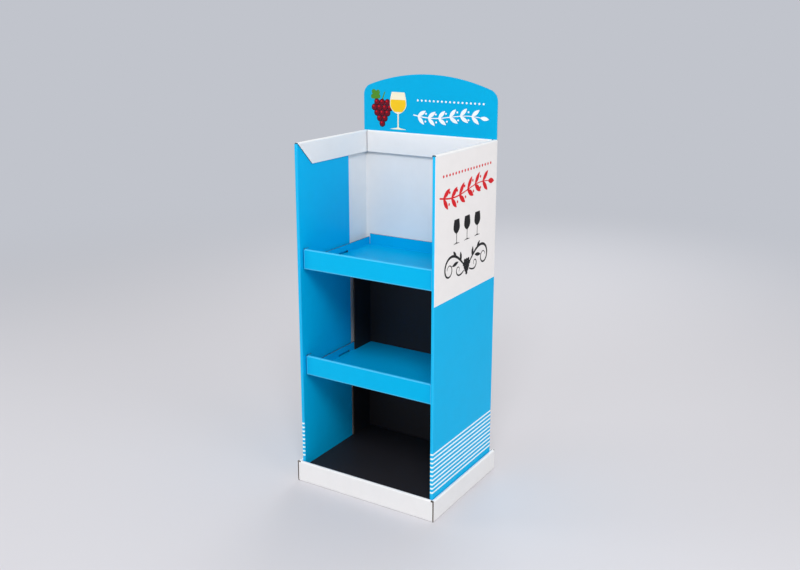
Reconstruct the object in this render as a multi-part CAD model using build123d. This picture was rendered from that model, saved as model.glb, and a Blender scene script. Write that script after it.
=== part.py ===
from build123d import *
import os

# A three-tier floor display stand of corrugated board. The front faces -Y, +Z is up
# and the origin is on the floor, under the middle of the base tray.

# Board
board = 3.0            # thickness of the corrugated board
crease = 0.8           # inside radius of every fold
slack = 0.3            # clearance between a piece and what it stands in or slides into

# Body: one sheet folded to a back wall, two hollow side walls and the flaps on top
body_width = 480.0
body_depth = 380.0
body_height = 1090.0   # floor to the folds along the top
wall_hollow = 4.0      # space between the two plies of a side wall
return_depth = 266.0   # how far the inner ply runs back from the front edge
cap_width = 13.0       # width of the folded rim along the top of a wall
flap_drop = 70.0       # how far the top flaps hang inside
flap_gap = 2.5         # slit between a side flap and the back flap

# Base tray: one sheet with walls rolled over a second ply
tray_height = 68.0
tray_gap = 1.0         # space between the tray's inner ply and the body
tray_tab = 60.0        # corner tabs of the front and back walls, inside the side walls

# Deck and the strips that carry it
deck_height = 52.0     # floor to the deck's upper face
long_strips = 3        # strips that run from side to side
cross_strips = 4       # strips that run from front to back
lap_slack = 0.6        # width that a half-lap slot has over the board

# Shelves: two equal folded trays
shelf_pitch = 343.0    # from one shelf to the next
middle_height = 360.0  # floor to the underside of the middle shelf
lip_height = 63.5
lip_setback = 14.0     # front of the lip behind the front edge of the body
lip_return = 24.0      # folded end of the lip, along the side wall
shelf_gap = 4.0        # space between a shelf and each side wall
side_upstand = 30.0    # height of a shelf's low sides
back_upstand = 40.0
hook_length = 60.0     # tab that hooks into a slot of the side wall
hook_bite = 3.2        # how far a hook reaches behind the inner ply
hook_places = (45.0, 185.0)  # from the front edge of the body to the start of each hook

# Risers: channels that stand behind the lower two bays and carry the shelves' backs
riser_depth = 100.0

# Header card
card_shoulder = 138.0  # height of the card's top corners above the body, before rounding
card_crown = 185.0     # height of the arch's crown above the body
card_corner = 36.0
tongue_width = 90.0
tongue_depth = 60.0
tongue_spread = 240.0  # between the middles of the two tongues
tongue_corner = 14.0

# Worked out from the sizes above
half = board / 2
bend = crease + half                      # radius of a fold along the mid-line
side_wall = 2 * board + wall_hollow
fold_room = board + crease + slack        # from a corner to flat board past its fold
roll = fold_room                          # hollow of a rolled wall, which holds a tab
tray_wall = 2 * board + roll
tray_width = body_width + 2 * (tray_gap + tray_wall)
tray_depth = body_depth + 2 * (tray_gap + tray_wall)
bay_width = body_width - 2 * side_wall    # between the inner plies
front = -body_depth / 2
back = body_depth / 2
back_face = back - board                  # inner face of the back wall
shelf_width = bay_width - 2 * shelf_gap
upper_height = middle_height + shelf_pitch


def block(x_low, x_high, y_low, y_high, z_low, z_high):
    """A box given by its two opposite corners."""
    size = (x_high - x_low, y_high - y_low, z_high - z_low)
    middle = ((x_low + x_high) / 2, (y_low + y_high) / 2, (z_low + z_high) / 2)
    return Pos(*middle) * Box(*size)


def bent(axis, low, high, *points):
    """Board folded along the points of its mid-line, carried along an axis from low to high."""
    plane, along = {
        "x": (Plane.YZ, Vector(1, 0, 0)),
        "y": (Plane.XZ, Vector(0, 1, 0)),
        "z": (Plane.XY, Vector(0, 0, 1)),
    }[axis]
    section = trace(FilletPolyline(*points, radius=bend), board)
    return Pos(along * low) * extrude(plane * section, high - low, dir=along)


def both_sides(piece):
    """A piece and its mirror image on the other side of the stand."""
    return piece + mirror(piece, Plane.YZ)


def both_ends(piece):
    """A piece and its mirror image at the other end, front to back."""
    return piece + mirror(piece, Plane.XZ)


def make_base_tray():
    """Floor and four walls; each wall is rolled over to a second ply."""
    side = tray_width / 2
    end = tray_depth / 2
    rim = tray_height - half
    inset = half + roll + board           # from a wall's outer face to its inner ply
    flat_x = side - fold_room             # where the floor's side folds begin
    hem_x = side - inset
    hem_y = end - inset
    hem_foot = board + slack
    stop_y = end - board - slack          # rims and inner plies of the side walls end here
    hem_end = hem_x - half - slack        # and those of the front and back walls here

    # floor with the front and back walls, rolled between the side walls' inner plies
    front_wall = [(-hem_y, hem_foot), (-hem_y, rim), (half - end, rim), (half - end, half)]
    back_wall = [(-y, z) for y, z in reversed(front_wall)]
    tray = bent("x", -hem_end, hem_end, *front_wall, *back_wall)
    # the same walls past the inner plies, single, with a tab at each end inside the side wall
    single_top = tray_height - board - slack
    single = bent("x", hem_end, flat_x, (half - end, single_top), (half - end, half),
                  (end - half, half), (end - half, single_top))
    tab = block(flat_x - board, flat_x, board - end, board + tray_tab - end,
                board + slack, single_top)
    tray += both_sides(single + both_ends(tab))
    # side walls: rolled along the tray, with the raw ends of the outer ply at the corners
    foot = (flat_x, half)
    tray += both_sides(bent("y", -stop_y, stop_y, foot, (side - half, half),
                            (side - half, rim), (hem_x, rim), (hem_x, hem_foot)))
    raw_end = bent("y", stop_y, end, foot, (side - half, half), (side - half, tray_height))
    tray += both_sides(both_ends(raw_end))
    return tray


def make_deck():
    """A panel with a skirt folded down at the front and at the back."""
    reach = bay_width / 2 - slack
    start = front + slack
    stop = back_face - slack
    top = deck_height - half
    return bent("x", -reach, reach, (start + half, board), (start + half, top),
                (stop - half, top), (stop - half, board))


def strip_places(count, low, high):
    """Middles of evenly spaced strips between two limits, half a pitch from each limit."""
    pitch = (high - low) / count
    return [low + pitch * (i + 0.5) for i in range(count)]


def make_strips():
    """Strips on edge that interlock at half-lap slots under the deck."""
    low_z = board
    high_z = deck_height - board
    middle_z = (low_z + high_z) / 2
    reach = bay_width / 2 - slack
    start = front + slack + board + crease
    stop = back_face - slack - board - crease
    slot = (board + lap_slack) / 2
    xs = strip_places(cross_strips, -reach, reach)
    ys = strip_places(long_strips, start, stop)
    pieces = {}
    for number, y in enumerate(ys, 1):
        strip = block(-reach, reach, y - half, y + half, low_z, high_z)
        for x in xs:
            strip -= block(x - slot, x + slot, y - board, y + board, middle_z, high_z + board)
        pieces[f"long_strip_{number}"] = strip
    for number, x in enumerate(xs, 1):
        strip = block(x - half, x + half, start, stop, low_z, high_z)
        for y in ys:
            strip -= block(x - board, x + board, y - slot, y + slot, low_z - board, middle_z)
        pieces[f"cross_strip_{number}"] = strip
    return pieces


def tongue_outline(width, depth):
    """A tongue that hangs from the origin, with its lower corners rounded."""
    outline = Pos(0, -depth / 2) * Rectangle(width, depth)
    return fillet(outline.vertices().group_by(Axis.Y)[0], tongue_corner)


def card_plane():
    """Mid-plane of the header card, just in front of the fold along the back wall."""
    return back - board - crease - slack - half


def make_body():
    """Back wall, hollow side walls, rims, flaps, and the slots for shelves and header."""
    outer_x = body_width / 2 - half
    inner_x = body_width / 2 - side_wall + half
    front_y = front + half
    back_y = back - half
    return_end = front + return_depth
    cap_line = body_height - half
    wall_top = body_height - board - slack
    root = wall_top - 2 * bend            # the rims' folds begin above this height
    flap_x = body_width / 2 - cap_width + half
    flap_foot = body_height - flap_drop
    flap_y = back - cap_width + half
    cap_start = front + fold_room         # the side rims run between the corner folds
    cap_stop = back - fold_room
    cap_end = flap_x - half - flap_gap    # the back rim ends at the side flaps

    # walls up to the rims, then the front and back corners beside the rims
    body = bent("z", board, root, (-inner_x, return_end), (-inner_x, front_y),
                (-outer_x, front_y), (-outer_x, back_y), (outer_x, back_y),
                (outer_x, front_y), (inner_x, front_y), (inner_x, return_end))
    front_corner = bent("z", root, wall_top, (outer_x, cap_start), (outer_x, front_y),
                        (inner_x, front_y), (inner_x, return_end))
    back_corner = bent("z", root, wall_top, (outer_x, cap_stop), (outer_x, back_y),
                       (cap_end, back_y))

    # side rims and flaps; the front end of a flap is cut at 45 degrees
    side_flap = bent("y", cap_start, cap_stop, (outer_x, root), (outer_x, cap_line),
                     (flap_x, cap_line), (flap_x, flap_foot))
    run = flap_drop - board
    mitre = Plane.YZ * make_face(Polyline((cap_start, body_height - board), (cap_start, flap_foot),
                                          (cap_start + run, flap_foot), close=True))
    side_flap -= Pos(flap_x - board, 0, 0) * extrude(mitre, 2 * board, dir=Vector(1, 0, 0))
    body += both_sides(front_corner + back_corner + side_flap)

    # back rim and flap between the side flaps
    body += bent("x", -cap_end, cap_end, (back_y, root), (back_y, cap_line),
                 (flap_y, cap_line), (flap_y, flap_foot))

    # slots in the back rim for the tongues of the header card
    gap = half + slack
    width = tongue_width / 2 + slack
    y = card_plane()
    for x in (-tongue_spread / 2, tongue_spread / 2):
        body -= block(x - width, x + width, y - gap, y + gap, root, body_height + board)

    # slots in the inner plies for the hooks of the two shelves
    inner_face = bay_width / 2
    for height in (middle_height, upper_height):
        for place in hook_places:
            y = front + place
            slot = block(inner_face - board, inner_face + board + slack, y - slack,
                         y + hook_length + slack, height, height + board + slack)
            body -= both_sides(slot)
    return body


def make_shelf(height):
    """Floor, rolled front lip with folded ends, low sides with hooks, and a back."""
    side = shelf_width / 2
    flat_x = side - fold_room             # where the folds along the sides begin
    lip_y = front + lip_setback + half
    hem_y = lip_y + board + roll
    stop_y = back_face - slack - half
    floor_line = height + half
    rim = height + lip_height - half

    # floor, rolled lip and back
    shelf = bent("x", -flat_x, flat_x, (hem_y, height + board + slack), (hem_y, rim),
                 (lip_y, rim), (lip_y, floor_line), (stop_y, floor_line),
                 (stop_y, height + back_upstand))
    # ends of the lip, folded back along the side walls
    end_y = front + lip_setback + lip_return
    end_fold = bent("z", height + slack, height + lip_height - slack, (flat_x, lip_y),
                    (side - half, lip_y), (side - half, end_y))
    # low sides behind them, each with its hooks cut out and left level with the floor
    low_side = bent("y", end_y + slack, stop_y - half - slack, (flat_x, floor_line),
                    (side - half, floor_line), (side - half, height + side_upstand))
    length = shelf_gap + board + hook_bite
    for place in hook_places:
        y = front + place
        low_side -= block(flat_x, side + board, y, y + hook_length, height, height + length)
        low_side += block(flat_x, side + length, y, y + hook_length, height, height + board)
    shelf += both_sides(end_fold + low_side)
    return shelf


def make_riser(width, foot, top):
    """A channel, open to the front, that stands on its lower edge clear of the folds behind it."""
    reach = width / 2 - half
    face = back_face - slack - board - crease
    back_y = face - half
    front_y = face - riser_depth
    return bent("z", foot, top, (-reach, front_y), (-reach, back_y), (reach, back_y),
                (reach, front_y))


def make_header_card():
    """A flat card with an arched top, and two tongues that stand in the back wall."""
    edge = body_width / 2
    outline = make_face(Curve() + [
        Line((-edge, 0), (-edge, card_shoulder)),
        ThreePointArc((-edge, card_shoulder), (0, card_crown), (edge, card_shoulder)),
        Line((edge, card_shoulder), (edge, 0)),
        Line((edge, 0), (-edge, 0)),
    ])
    outline = fillet(outline.vertices().group_by(Axis.Y)[-1], card_corner)
    for way in (-1, 1):
        outline += Pos(way * tongue_spread / 2, 0) * tongue_outline(tongue_width, tongue_depth)
    plane = Plane.XZ * Pos(0, body_height, 0)
    card = extrude(plane * outline, board, dir=Vector(0, 1, 0))
    return Pos(0, card_plane() - half, 0) * card


pieces = {
    "base_tray": make_base_tray(),
    "base_deck": make_deck(),
    **make_strips(),
    "body": make_body(),
    "middle_shelf": make_shelf(middle_height),
    "upper_shelf": make_shelf(upper_height),
    "lower_riser": make_riser(bay_width - 2 * slack, deck_height, middle_height),
    "middle_riser": make_riser(shelf_width - 2 * (board + crease), middle_height + board,
                               upper_height),
    "header_card": make_header_card(),
}

os.makedirs("parts", exist_ok=True)
for name, piece in pieces.items():
    export_step(piece, f"parts/{name}.step")
    print(name, round(piece.volume / 1000, 1), "cm3,", len(piece.solids()), "solid")
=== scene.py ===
# %% [markdown]
# # A cardboard display stand
# The real stand comes flat: a few sheets of corrugated board, printed, cut and creased by
# a machine, then folded by hand and hooked into each other. This lesson makes it the same
# way. Each sheet is a grid of points on the flat blank, bent along its creases by a
# formula, and the print is laid on the side that was outside in the press. First comes
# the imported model, whose sizes everything here keeps to.

import bpy
import numpy as np
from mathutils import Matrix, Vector


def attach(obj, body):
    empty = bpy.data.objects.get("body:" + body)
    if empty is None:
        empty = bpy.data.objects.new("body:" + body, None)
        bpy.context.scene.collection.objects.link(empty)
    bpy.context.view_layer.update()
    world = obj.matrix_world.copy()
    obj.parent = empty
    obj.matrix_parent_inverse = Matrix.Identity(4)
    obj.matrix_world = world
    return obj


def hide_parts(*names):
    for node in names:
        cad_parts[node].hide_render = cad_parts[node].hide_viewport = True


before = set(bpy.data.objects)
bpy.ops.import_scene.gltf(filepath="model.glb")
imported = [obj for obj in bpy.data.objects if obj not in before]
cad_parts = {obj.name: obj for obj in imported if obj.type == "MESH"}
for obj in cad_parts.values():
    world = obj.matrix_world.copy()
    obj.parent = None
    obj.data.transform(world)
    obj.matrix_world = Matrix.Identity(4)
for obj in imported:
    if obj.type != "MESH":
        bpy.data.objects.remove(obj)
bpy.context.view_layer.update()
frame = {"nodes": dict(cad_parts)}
print("CAD nodes:", ", ".join(sorted(frame["nodes"])))

# %% [markdown]
# ## The sizes that drive the rest
# A stand of folded board is laid out from the outside of its body and the heights of its
# tray, deck and shelves. These could be typed in, but they are read off the boxes around
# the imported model's nodes, so that the pieces made here always fit it. They are in
# millimetres, the unit in which board is cut.

# %% Driving sizes
MM = 0.001


def box_of(thing):
    """The lowest and the highest corner of an object in millimetres, to a tenth."""
    corners = np.array(thing.bound_box) / MM
    return corners.min(axis=0).round(1), corners.max(axis=0).round(1)


nodes = frame["nodes"]
body_low, body_high = box_of(nodes["body"])
body_width, body_depth = (body_high - body_low)[:2]
body_height = body_high[2]
tray_height = box_of(nodes["base_tray"])[1][2]
deck_height = box_of(nodes["base_deck"])[1][2]
middle_height = box_of(nodes["middle_shelf"])[0][2]
upper_height = box_of(nodes["upper_shelf"])[0][2]
print("body", body_width, "x", body_depth, "x", body_height, "mm, shelves at", middle_height, upper_height)

# %% [markdown]
# ## The view
# The camera comes early, because it decides how fine every detail has to be. It could be
# placed by eye, but working its place out from straight edges of the stand in the
# photograph is surer: it stands a little higher than the header, to the right, and looks
# down by 15 degrees. A small lens shift keeps the upright edges nearly upright, as a
# product photographer does.

# %% Camera
camera_place = (1494, -2395, 1476)         # mm
line_of_sight = (-0.5096, 0.8225, -0.2524)

lens = bpy.data.cameras.new("view_camera")
lens.sensor_width = 36.0       # mm, a full-frame sensor
lens.lens = 42.75              # mm, focal length
lens.shift_y = -0.0375         # a share of the picture's width
lens.clip_end = 60.0           # m, past the far border of the floor
camera = bpy.data.objects.new("view_camera", lens)
camera.location = Vector(camera_place) * MM
camera.rotation_euler = Vector(line_of_sight).to_track_quat("-Z", "Y").to_euler()
bpy.context.scene.collection.objects.link(camera)
bpy.context.scene.camera = camera
print("camera is", round(camera.location.length, 2), "m from the foot of the stand")

# %% [markdown]
# ## Folding board
# A crease in corrugated board isn't a sharp line: the board crushes and goes round a
# small arc. A drawing with bevelled boxes would show the same corner everywhere. Here the
# middle of the board follows a line that is straight between creases and a true arc at
# each one, which gives the narrow highlight that runs along every folded edge. Both are
# steps of constant curvature, so one small formula makes either.

# %% One step along folded board
board = 3.0       # mm, thickness of B-flute board
crease = 0.8      # inside radius of a fold
half = board / 2
bend = crease + half


def chord(distance, heading, curve):
    """Step along a line of constant curvature. It is as long as the chord of the arc,
    distance * sin(a) / a with a = distance * curve / 2, and points along heading + a.
    With no curvature that is a straight step, so one formula serves both."""
    length = distance * np.sinc(distance * curve / (2 * np.pi))
    way = heading + distance * curve / 2
    return np.stack([length * np.cos(way), length * np.sin(way)], -1)


print("a fold by 90 degrees goes over and up by", chord(bend * np.pi / 2, 0.0, 1 / bend).round(2), "mm")

# %% [markdown]
# ## A profile from its corners
# A sheet's profile is easiest to state as sharp corners, as on a cutting plan. A curve
# object could round them, but it would not say how much board goes into them. Here each
# corner becomes an arc, and the result is kept as a function of the distance along the
# board, because that distance is also the place on the flat blank.

# %% The mid-line of folded board
def fold_line(points, radius=bend):
    """Mid-line of board through corner points, as a function of the distance s along it.
    A corner that turns by an angle a becomes an arc of the radius, which takes
    radius * tan(a / 2) off both runs. Returns the function, and the s and length of each
    stretch: run, arc, run, arc, run."""
    p = np.array(points, float)
    run = np.diff(p, axis=0)
    angle = np.unwrap(np.arctan2(run[:, 1], run[:, 0]))
    turn = np.diff(angle)
    bite = radius * np.abs(np.tan(turn / 2))
    length = np.zeros(2 * len(run) - 1)
    length[0::2] = np.hypot(run[:, 0], run[:, 1]) - np.append(bite, 0) - np.insert(bite, 0, 0)
    length[1::2] = radius * np.abs(turn)
    curve = np.zeros_like(length)
    curve[1::2] = np.sign(turn) / radius
    heading = np.repeat(angle, 2)[:-1]
    start = np.append(0, np.cumsum(length)[:-1])
    steps = chord(length, heading, curve)
    origin = p[0] + np.vstack([[0, 0], np.cumsum(steps, axis=0)[:-1]])

    def at(s):
        """Place, direction and curvature at the distances s."""
        k = np.clip(np.searchsorted(start, s, side="right") - 1, 0, len(start) - 1)
        q = s - start[k]
        return origin[k] + chord(q, heading[k], curve[k]), heading[k] + q * curve[k], curve[k]

    return at, start, length


test_line = [(0, 0), (50, 0), (50, 20)]
print("a strip of 50 + 20 mm with one crease takes", fold_line(test_line)[2].sum().round(2), "mm of board")

# %% [markdown]
# ## From a surface to a sheet
# Board has two faces and a cut edge all round, and slots cut through it. A Solidify
# modifier could thicken a plane, but it would not know which edge is a cut across the
# flutes. So a sheet is kept as a grid on its mid-surface: cells that the die cuts away
# are left out, and wherever a kept cell has no neighbour the raw edge is closed.

# %% Faces and cut edges of a grid
def cell_quads(index, keep):
    """The kept cells as quads of point numbers: (i, j), (i + 1, j), (i + 1, j + 1), (i, j + 1)."""
    i, j = np.nonzero(keep)
    return np.stack([index[i, j], index[i + 1, j], index[i + 1, j + 1], index[i, j + 1]], 1)


def cut_walls(index, keep, layer):
    """Quads that close the raw edge from one face's points to the other's, which are
    numbered layer higher. Each group comes with the way that its edge runs, s or t."""
    inside = np.pad(keep, 1)
    # the neighbours on each side, the wall's first corner, the way it runs, and whether it is turned
    sides = ((inside[1:-1, :-2], 0, 0, "s", False), (inside[1:-1, 2:], 0, 1, "s", True),
             (inside[:-2, 1:-1], 0, 0, "t", True), (inside[2:, 1:-1], 1, 0, "t", False))
    walls = []
    for neighbour, down, right, runs, turned in sides:
        i, j = np.nonzero(keep & ~neighbour)
        a = index[i + down, j + right]
        b = index[i + down + (runs == "s"), j + right + (runs == "t")]
        wall = np.stack([a, a + layer, b + layer, b], 1)
        walls.append((wall[:, ::-1] if turned else wall, runs))
    return walls


test_grid, test_keep = np.arange(12).reshape(3, 4), np.ones((2, 3), bool)
print("a grid of", len(cell_quads(test_grid, test_keep)), "cells is closed by",
      sum(len(wall) for wall, _ in cut_walls(test_grid, test_keep, 12)), "faces round its edge")

# %% [markdown]
# ## The two faces of a sheet
# Both faces lie half a thickness off the middle. Blender could unwrap them for a UV map,
# but it would have to guess where the sheet was cut. The flat blank's own millimetres are
# known, and as the map they keep the flutes with the board round every fold. On the raw
# edge the map counts along the cut and through the board instead, and a cut along the
# flutes gets no count, because no waves show there.

# %% A thin solid around a grid of points
def slab(mid, normal, thick, flat, keep=None, flutes="t", crack_and_highlight_mask=None, slots=(0, 0, 1)):
    """A sheet around the surface mid, a grid of points whose rows follow s and columns t.
    face = mid + thick / 2 * normal on one side and - thick / 2 on the other.
    flat holds s and t of each point on the blank. The UV map is across and along the
    flutes. The crease mask marks the points on each face on the outside of a fold, where
    the paper stretches: a paler line goes there, partly cracked ink and partly a painted
    highlight. slots are the materials of the two faces and of the raw edge."""
    n, m = mid.shape[:2]
    layer = n * m
    index = np.arange(layer).reshape(n, m)
    keep = np.ones((n - 1, m - 1), bool) if keep is None else keep
    crack_and_highlight_mask = np.zeros((2, n, m)) if crack_and_highlight_mask is None else crack_and_highlight_mask
    co = np.concatenate([(mid + hand * thick / 2 * normal).reshape(-1, 3) for hand in (1, -1)])
    face_uv = (flat if flutes == "t" else flat[..., ::-1]).reshape(-1, 2)
    top = cell_quads(index, keep)
    quads = [top, (top + layer)[:, ::-1]]
    uvs = [face_uv[top], face_uv[top[:, ::-1]]]
    marks = [np.full(len(top), slots[0]), np.full(len(top), slots[1])]
    for wall, runs in cut_walls(index, keep, layer):
        across = face_uv[:, 0] if runs != flutes else np.zeros(layer)
        quads.append(wall)
        uvs.append(np.stack([across[wall % layer], np.where(wall < layer, thick, 0.0)], -1))
        marks.append(np.full(len(wall), slots[2]))
    return {"co": co, "quads": np.concatenate(quads), "uv": np.concatenate(uvs),
            "slot": np.concatenate(marks), "crease": crack_and_highlight_mask.reshape(-1)}


test_mid = np.stack(np.meshgrid([0.0, 50.0, 70.0], [0.0, 100.0], [0.0], indexing="ij"), -1)[:, :, 0]
test_slab = slab(test_mid, np.array([0.0, 0.0, 1.0]), board, test_mid[..., :2])
print("a flat sheet of 2 cells has", len(test_slab["quads"]), "faces")

# %% [markdown]
# ## Where the grid needs points
# An even grid would need a line every half millimetre to round the folds, and nearly all
# of them would lie on flat board, which needs none. So there are lines only round each
# fold, at the borders of each cut, and close beside each fold, so that the pale line at
# the fold, partly cracked ink and partly a painted highlight, ends there and doesn't fade
# out over the whole panel.

# %% Lines of the grid and cells of the cuts
fold_points = 7     # round each fold
beside_fold = 1.2   # mm, from a fold to the next line of points


def grid_lines(start, length, low, high, cut):
    """The s and t of the grid's lines: s at both ends, round the folds, beside them and at
    the cuts, and t at both ends and at the cuts."""
    total = length.sum()
    turns = start[1::2, None] + length[1::2, None] * np.linspace(0, 1, fold_points)
    beside = np.concatenate([start[1::2] - beside_fold, start[1::2] + length[1::2] + beside_fold])
    s = np.concatenate([[0, total], turns.ravel(), beside, cut[:, :2].ravel()])
    t = np.concatenate([[low, high], cut[:, 2:].ravel()])
    return np.unique(np.round(s[(s >= 0) & (s <= total)], 3)), np.unique(np.round(t, 3))


def kept_cells(s, t, cut):
    """A cell stays if its middle lies in no cut."""
    s_mid, t_mid = 0.5 * (s[:-1] + s[1:])[:, None], 0.5 * (t[:-1] + t[1:])[None, :]
    keep = np.ones((len(s) - 1, len(t) - 1), bool)
    for s0, s1, t0, t1 in cut:
        keep &= ~((s_mid > s0) & (s_mid < s1) & (t_mid > t0) & (t_mid < t1))
    return keep


test_cut = np.array([[10.0, 20.0, 30.0, 60.0]])
test_s, test_t = grid_lines(*fold_line(test_line)[1:], 0, 100, test_cut)
print("one crease and one slot:", kept_cells(test_s, test_t, test_cut).sum(), "cells stay of",
      (len(test_s) - 1) * (len(test_t) - 1))

# %% [markdown]
# ## A folded sheet
# A modifier can bend board too, but only once and evenly over its length. Here the profile
# is carried along the crease, with as many folds as it has, so one function makes walls,
# rims, flaps, trays and channels. A mitre only moves the end where the carrying starts.

# %% Folding a sheet
FRAMES = {   # which way the profile's two directions and the carried direction point
    "x": np.array([(0, 1, 0), (0, 0, 1), (1, 0, 0)], float),
    "y": np.array([(1, 0, 0), (0, 0, 1), (0, 1, 0)], float),
    "z": np.array([(1, 0, 0), (0, 1, 0), (0, 0, 1)], float),
}


def folded(axis, low, high, points, cuts=(), flutes="t", slots=(0, 0, 1), outside="right", start_at=None):
    """Board folded along the points of its mid-line and carried along an axis.
    The point at (s, t) is fold_line(s) in the plane across the axis, and t along it.
    cuts are slots as (s0, s1, t0, t1). slots are the materials outside, inside and at the
    raw edge, and outside says on which hand of the line the outside is. start_at(place)
    moves the low end, as for a mitre."""
    at, start, length = fold_line(points)
    cut = np.array(cuts, float).reshape(-1, 4)
    s, t = grid_lines(start, length, low, high, cut)
    place, way, curve = at(s)
    first = np.full(len(s), float(low)) if start_at is None else start_at(place)
    t_grid = first[:, None] + (t - low) / (high - low) * (high - first)[:, None]
    u_way, v_way, t_way = FRAMES[axis]
    mid = place[:, None, :1] * u_way + place[:, None, 1:] * v_way + t_grid[..., None] * t_way
    tangent = np.cos(way)[:, None] * u_way + np.sin(way)[:, None] * v_way
    left = -np.sin(way)[:, None] * u_way + np.cos(way)[:, None] * v_way
    normal = np.cross(tangent, t_way)
    # 1 where the normal points to the left hand of the line, seen in its own plane, and -1 to the right
    hand = np.sign((left * normal).sum(1)[0])
    # a crease stretches the paper on the outside of the bend, the side away from its centre;
    # the pale line there is partly cracked ink and partly a painted highlight along the fold
    bends = np.stack([curve * hand < 0, curve * hand > 0])
    crack_and_highlight_mask = np.repeat(bends[:, :, None], len(t), 2).astype(float)
    faces = slots[:2] if (outside == "left") == (hand > 0) else slots[1::-1]
    flat = np.stack(np.broadcast_arrays(s[:, None], t_grid), -1)
    normal = np.repeat(normal[:, None], len(t), 1)
    return slab(mid, normal, board, flat, kept_cells(s, t, cut), flutes, crack_and_highlight_mask, (*faces, slots[2]))


test_sheet = folded("z", 0, 100, test_line, cuts=test_cut)
print("a sheet with one crease and one slot has", len(test_sheet["quads"]), "faces")

# %% [markdown]
# ## Left and right
# The left half of the stand mirrors the right half, and the back of the tray mirrors its
# front. A Mirror modifier would mirror a whole piece, but here only some sheets of a
# piece come in pairs, so it is done to their arrays.

# %% Mirror images
def mirrored(part, axis=0):
    """The same sheet on the other side: one coordinate changes sign, and so does the order
    of each face's corners, so that the faces still point outwards."""
    co = part["co"].copy()
    co[:, axis] *= -1
    return {**part, "co": co, "quads": part["quads"][:, ::-1], "uv": part["uv"][:, ::-1]}


def both(parts, axis=0):
    """The sheets and their mirror images."""
    return parts + [mirrored(part, axis) for part in parts]


print("with its mirror image that makes", len(both([test_sheet])), "sheets")

# %% [markdown]
# ## Colours
# Blender calculates with linear light. Colours could be typed in as linear values, but
# those say little to a reader. So they are written as a designer writes them, in sRGB,
# and one function turns them into linear ones.

# %% From sRGB to linear light
def linear(code):
    """sRGB hex to linear: c / 12.92 for dark values, ((c + 0.055) / 1.055) ** 2.4 above."""
    c = np.array([int(code[i:i + 2], 16) for i in (1, 3, 5)]) / 255
    c = np.where(c <= 0.04045, c / 12.92, ((c + 0.055) / 1.055) ** 2.4)
    return (*c.tolist(), 1.0)


print("process cyan in linear light:", [round(v, 3) for v in linear("#04B3E8")])

# %% [markdown]
# ## Materials as trees of nodes
# A material is a small network of nodes. It could be built by hand in the editor, but a
# line of code for each node can be read and repeated. One helper adds any node, sets it
# and links what comes before it.

# %% One helper for nodes
def add(tree, kind, *inputs, **named):
    """Adds a shader node. The inputs fill its sockets in their order. A name is one of the
    node's own settings, or else a socket, with _ for a space. A node as a value links its
    first output in use, a socket links itself, and any other value is set."""
    node = tree.nodes.new("ShaderNode" + kind)
    for key in [key for key in named if hasattr(node, key)]:
        setattr(node, key, named.pop(key))
    sockets = {socket.identifier.replace(" ", "_"): socket for socket in node.inputs}
    for socket, value in [*zip(node.inputs, inputs), *((sockets[k], v) for k, v in named.items())]:
        if isinstance(value, bpy.types.Node):
            value = next(output for output in value.outputs if output.enabled)
        if isinstance(value, bpy.types.NodeSocket):
            tree.links.new(value, socket)
        else:
            socket.default_value = value
    return node


def material(name):
    """An empty material, and its node tree."""
    made = bpy.data.materials.new(name)
    made.use_nodes = True
    made.node_tree.nodes.clear()
    return made, made.node_tree


print("kinds of shader node to choose from:", sum(name.startswith("ShaderNode") for name in dir(bpy.types)))

# %% [markdown]
# ## Clouds in a solid colour
# Display board is paper printed by offset, varnished, and glued to the fluted board. No
# large area of ink is quite even: it lies a little thicker in some places. A photograph
# of real print would show that best, but slow noise with clouds of a few centimetres
# comes close, and it has no border and no resolution.

# %% Mottled ink
mottle_size = 45.0     # mm, how large the clouds in a solid ink area are


def mottled(tree, place, colour, amount, roughness):
    """The colour times 1 - amount to 1 + amount, by noise with clouds of the mottle's size."""
    cloud = add(tree, "TexNoise", Vector=place, Scale=1000 / mottle_size, Detail=3.0, Roughness=roughness)
    light = add(tree, "Math", cloud, 2 * amount, 1 - amount, operation="MULTIPLY_ADD")
    return add(tree, "Mix", data_type="RGBA", blend_type="MULTIPLY", Factor_Float=1.0,
               A_Color=colour, B_Color=add(tree, "CombineColor", light, light, light))


print("clouds in the ink:", round(1000 / mottle_size), "to the metre")

# %% [markdown]
# ## Printed and varnished paper
# The surface of a sheet is built from its base up: the ink with its clouds, a paler line
# at each crease, partly where the crease stretches and cracks the ink and partly a painted
# highlight along the fold, the fibre of the paper, and a dull varnish that gives a broad
# soft shine. The flutes show through as a washboard that only grazing light finds. It
# could be modelled, but its waves are a tenth of a millimetre high, so a bump does. The
# mark for the creases was written into the mesh by the folding.

# %% The finish of varnished board
flute_pitch = 6.5      # mm, B-flute
washboard = 0.14       # mm, drawn a few times deeper than on real board, so that it shows
crease_line_grains = 450.0   # to the metre, so flakes of the pale crease line, cracked ink and painted highlight, are 2.2 mm
fibre_grains = 900.0   # to the metre: clumps of 1.1 mm, drawn coarser than real fibre to show


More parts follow.
